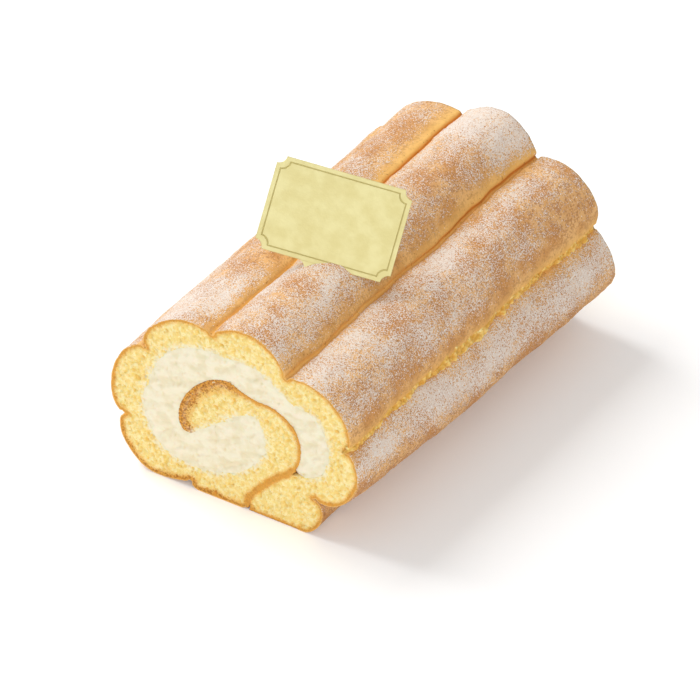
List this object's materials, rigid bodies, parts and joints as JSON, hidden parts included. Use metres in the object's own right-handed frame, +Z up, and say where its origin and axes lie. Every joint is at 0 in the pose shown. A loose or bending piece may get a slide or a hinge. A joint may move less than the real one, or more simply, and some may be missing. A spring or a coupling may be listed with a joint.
{
  "type": "swiss roll cake",
  "caption": "Rolled sponge cake of ridged piped sponge round whipped cream, dusted with sugar, with a plain gold card stuck in its top.",
  "frame": {"origin": "middle of the resting plane under the roll", "axes": "+Y along the roll from the cut face shown to the far end, +X to the right of that cut face, +Z up"},
  "size_m": [0.1094, 0.162, 0.1086],
  "materials": {
    "sponge": "open pale yellow crumb with a golden brown skin, dusted with fine white sugar",
    "cream": "soft off-white whipped cream with a low uneven gloss",
    "gold_card": "pale matt gold foil on card, with an embossed border line and no print"
  },
  "bodies": {
    "root": {"sponge": "sponge", "cream": "cream", "gold_card": "gold_card"}
  },
  "joints": []
}
